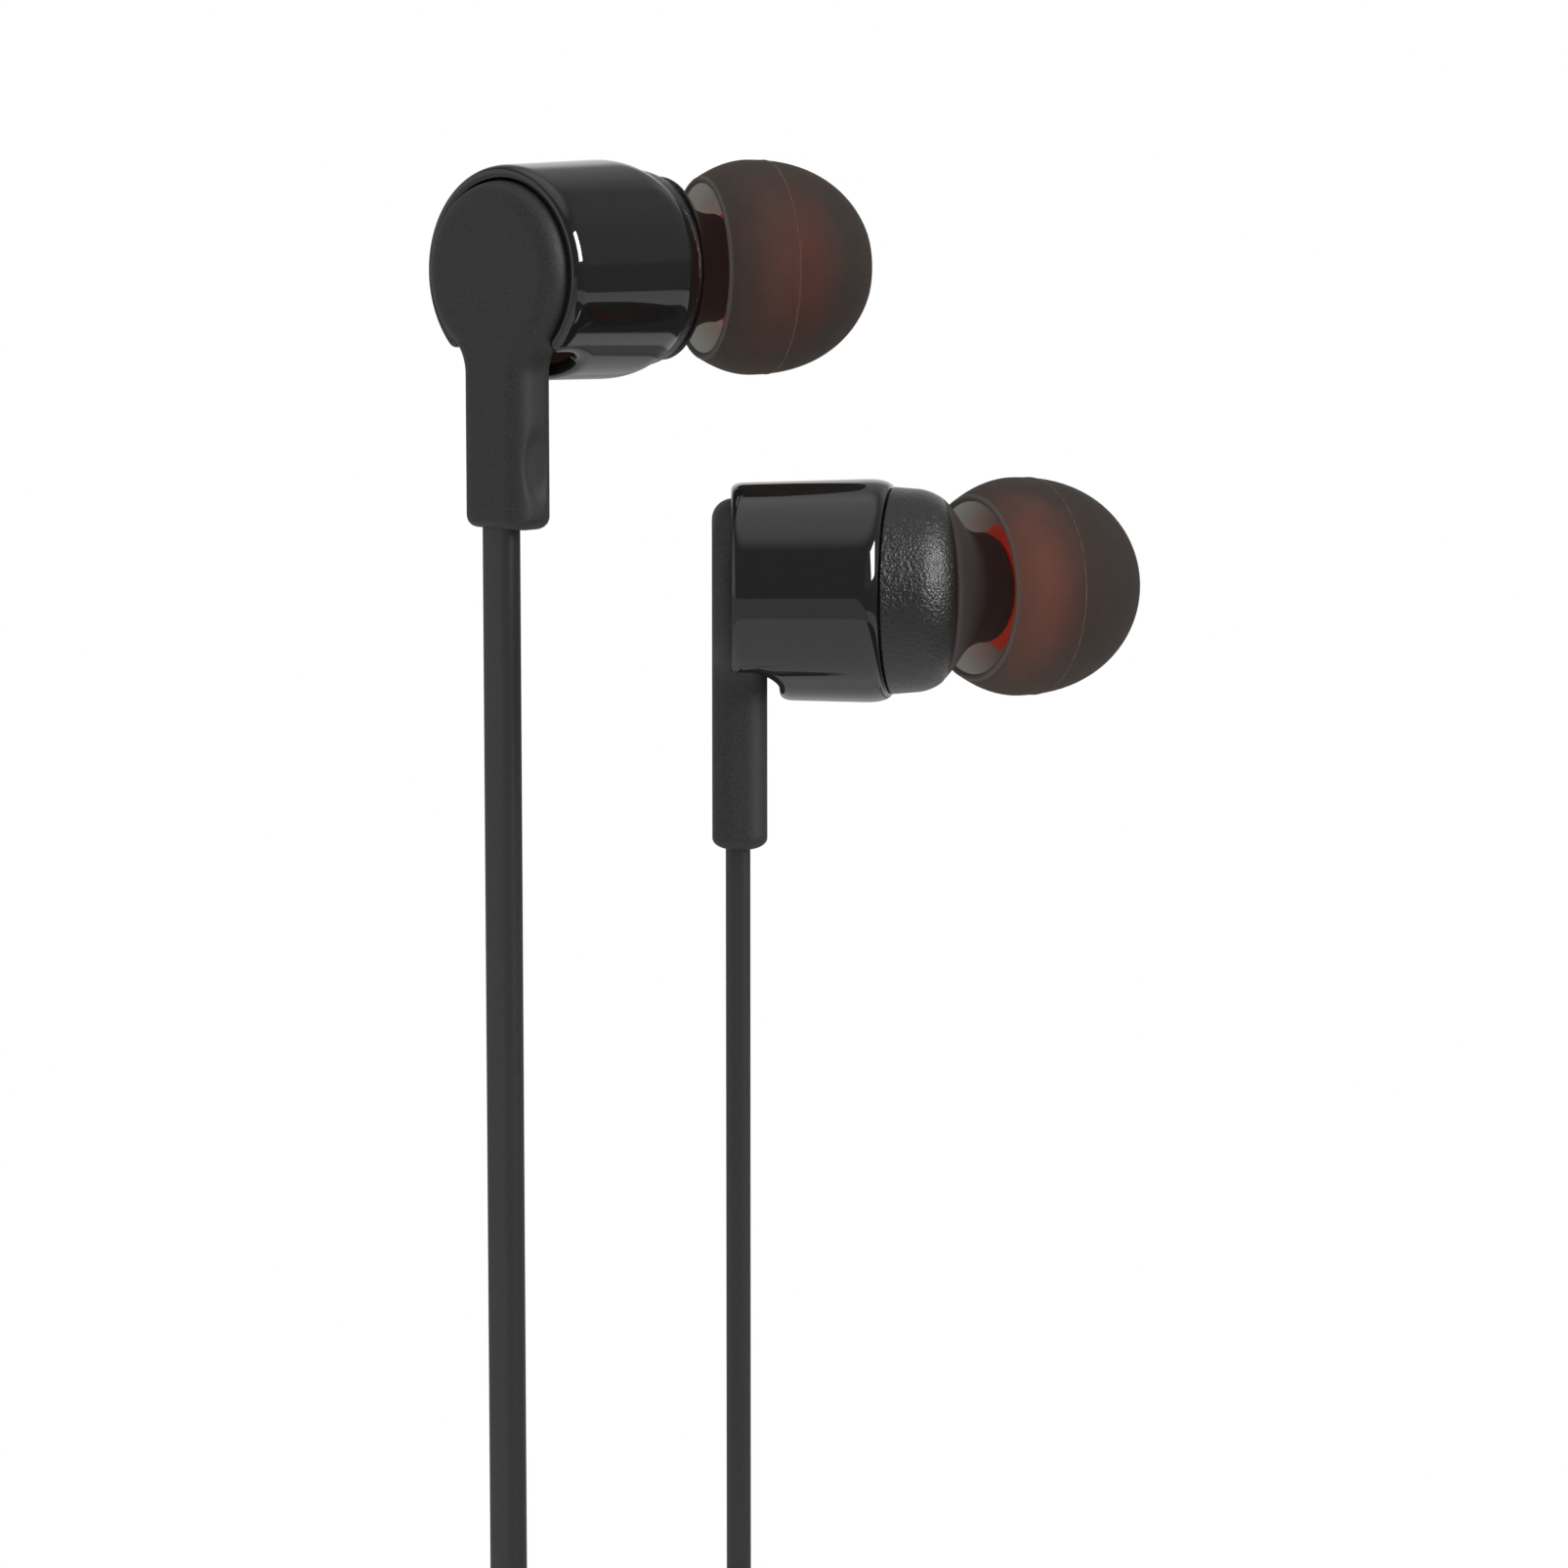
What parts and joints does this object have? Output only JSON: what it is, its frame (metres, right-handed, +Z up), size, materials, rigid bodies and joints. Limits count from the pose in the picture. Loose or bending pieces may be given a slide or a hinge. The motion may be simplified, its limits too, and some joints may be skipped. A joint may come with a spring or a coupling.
{
  "type": "wired earphones",
  "caption": "Wired in-ear earphones: gloss shells, angled nozzles with soft silicone tips, flat cords, an in-line remote, a splitter and a jack plug, cord folded and tied.",
  "frame": {"origin": "centre of the right ear tip's mouth, where the ear holds the part", "axes": "+Z up along the hanging cords, +Y away from whoever looks at the front, +X to the viewer's right, where both tips point"},
  "size_m": [0.0428, 0.0266, 0.2288],
  "materials": {
    "shell_gloss": "high gloss black, polished moulding",
    "cap_matte": "matte charcoal with a fine spark-eroded grain",
    "housing_grain": "satin black with a coarse leather-like grain",
    "tip_silicone": "smoke silicone, translucent, soft sheen",
    "core_silicone": "red silicone, matte",
    "cord_jacket": "flat cord jacket, satin black",
    "tie_silicone": "matte black silicone band",
    "relief_rubber": "matte black strain relief",
    "mesh_steel": "fine pierced steel",
    "driver_steel": "pressed steel, satin",
    "magnet": "nickel-plated magnet",
    "coil_copper": "enamelled copper",
    "diaphragm_film": "thin clear polymer film",
    "frame_plastic": "natural white moulding",
    "circuit_board": "green solder mask",
    "felt": "grey acoustic felt",
    "contact_plating": "gold-plated contacts, polished",
    "insulator_plastic": "black insulator"
  },
  "bodies": {
    "root": {"right_outer_shell": "shell_gloss", "right_rear_cap": "cap_matte", "right_front_housing": "housing_grain", "right_nozzle_mesh": "mesh_steel", "right_driver_cover": "driver_steel", "right_pole_plate": "driver_steel", "right_magnet": "magnet", "right_driver_yoke": "driver_steel", "right_driver_frame": "frame_plastic", "right_damping_felt": "felt", "right_terminal_board": "circuit_board", "right_lead_wire": "coil_copper", "right_cable_crimp": "driver_steel", "left_outer_shell": "shell_gloss", "left_rear_cap": "cap_matte", "left_front_housing": "housing_grain", "left_nozzle_mesh": "mesh_steel", "left_driver_cover": "driver_steel", "left_pole_plate": "driver_steel", "left_magnet": "magnet", "left_driver_yoke": "driver_steel", "left_driver_frame": "frame_plastic", "left_damping_felt": "felt", "left_terminal_board": "circuit_board", "left_lead_wire": "coil_copper", "left_cable_crimp": "driver_steel", "right_cord_upper": "cord_jacket", "right_cord_lower": "cord_jacket", "right_cord_hank": "cord_jacket", "left_cord_upper": "cord_jacket", "left_cord_hank": "cord_jacket", "main_cord_hank": "cord_jacket", "hank_tie": "tie_silicone", "splitter_body": "cap_matte", "remote_front_shell": "shell_gloss", "remote_rear_shell": "cap_matte", "remote_board": "circuit_board", "remote_dome_switch": "driver_steel", "remote_microphone": "driver_steel", "remote_relief_top": "relief_rubber", "remote_relief_bottom": "relief_rubber", "plug_relief": "relief_rubber", "plug_handle": "cap_matte", "jack_sleeve": "contact_plating", "jack_ring_2": "contact_plating", "jack_ring_1": "contact_plating", "jack_tip": "contact_plating", "jack_insulator": "insulator_plastic"},
    "right_tip": {"right_ear_tip_dome": "tip_silicone", "right_ear_tip_core": "core_silicone"},
    "right_driver": {"right_diaphragm": "diaphragm_film", "right_voice_coil": "coil_copper"},
    "left_tip": {"left_ear_tip_dome": "tip_silicone", "left_ear_tip_core": "core_silicone"},
    "left_driver": {"left_diaphragm": "diaphragm_film", "left_voice_coil": "coil_copper"},
    "remote_button": {"remote_button": "cap_matte"}
  },
  "joints": [
    {"name": "right_tip_pull", "type": "slide", "parent": "root", "child": "right_tip", "axis": [0.9391, 0.3437, 0], "range_m": [0, 0.008]},
    {"name": "right_driver_travel", "type": "slide", "parent": "root", "child": "right_driver", "axis": [0.6717, 0.7408, 0], "range_m": [-0.00025, 0.00025], "stiffness_N_per_m": 100},
    {"name": "left_tip_pull", "type": "slide", "parent": "root", "child": "left_tip", "axis": [0.8788, 0.4768, -0.0187], "range_m": [0, 0.008]},
    {"name": "left_driver_travel", "type": "slide", "parent": "root", "child": "left_driver", "axis": [0.9999, 0.014, 0], "range_m": [-0.00025, 0.00025], "stiffness_N_per_m": 100},
    {"name": "remote_button_press", "type": "slide", "parent": "root", "child": "remote_button", "axis": [0, 1, 0], "range_m": [0, 0.0003], "stiffness_N_per_m": 4000}
  ]
}
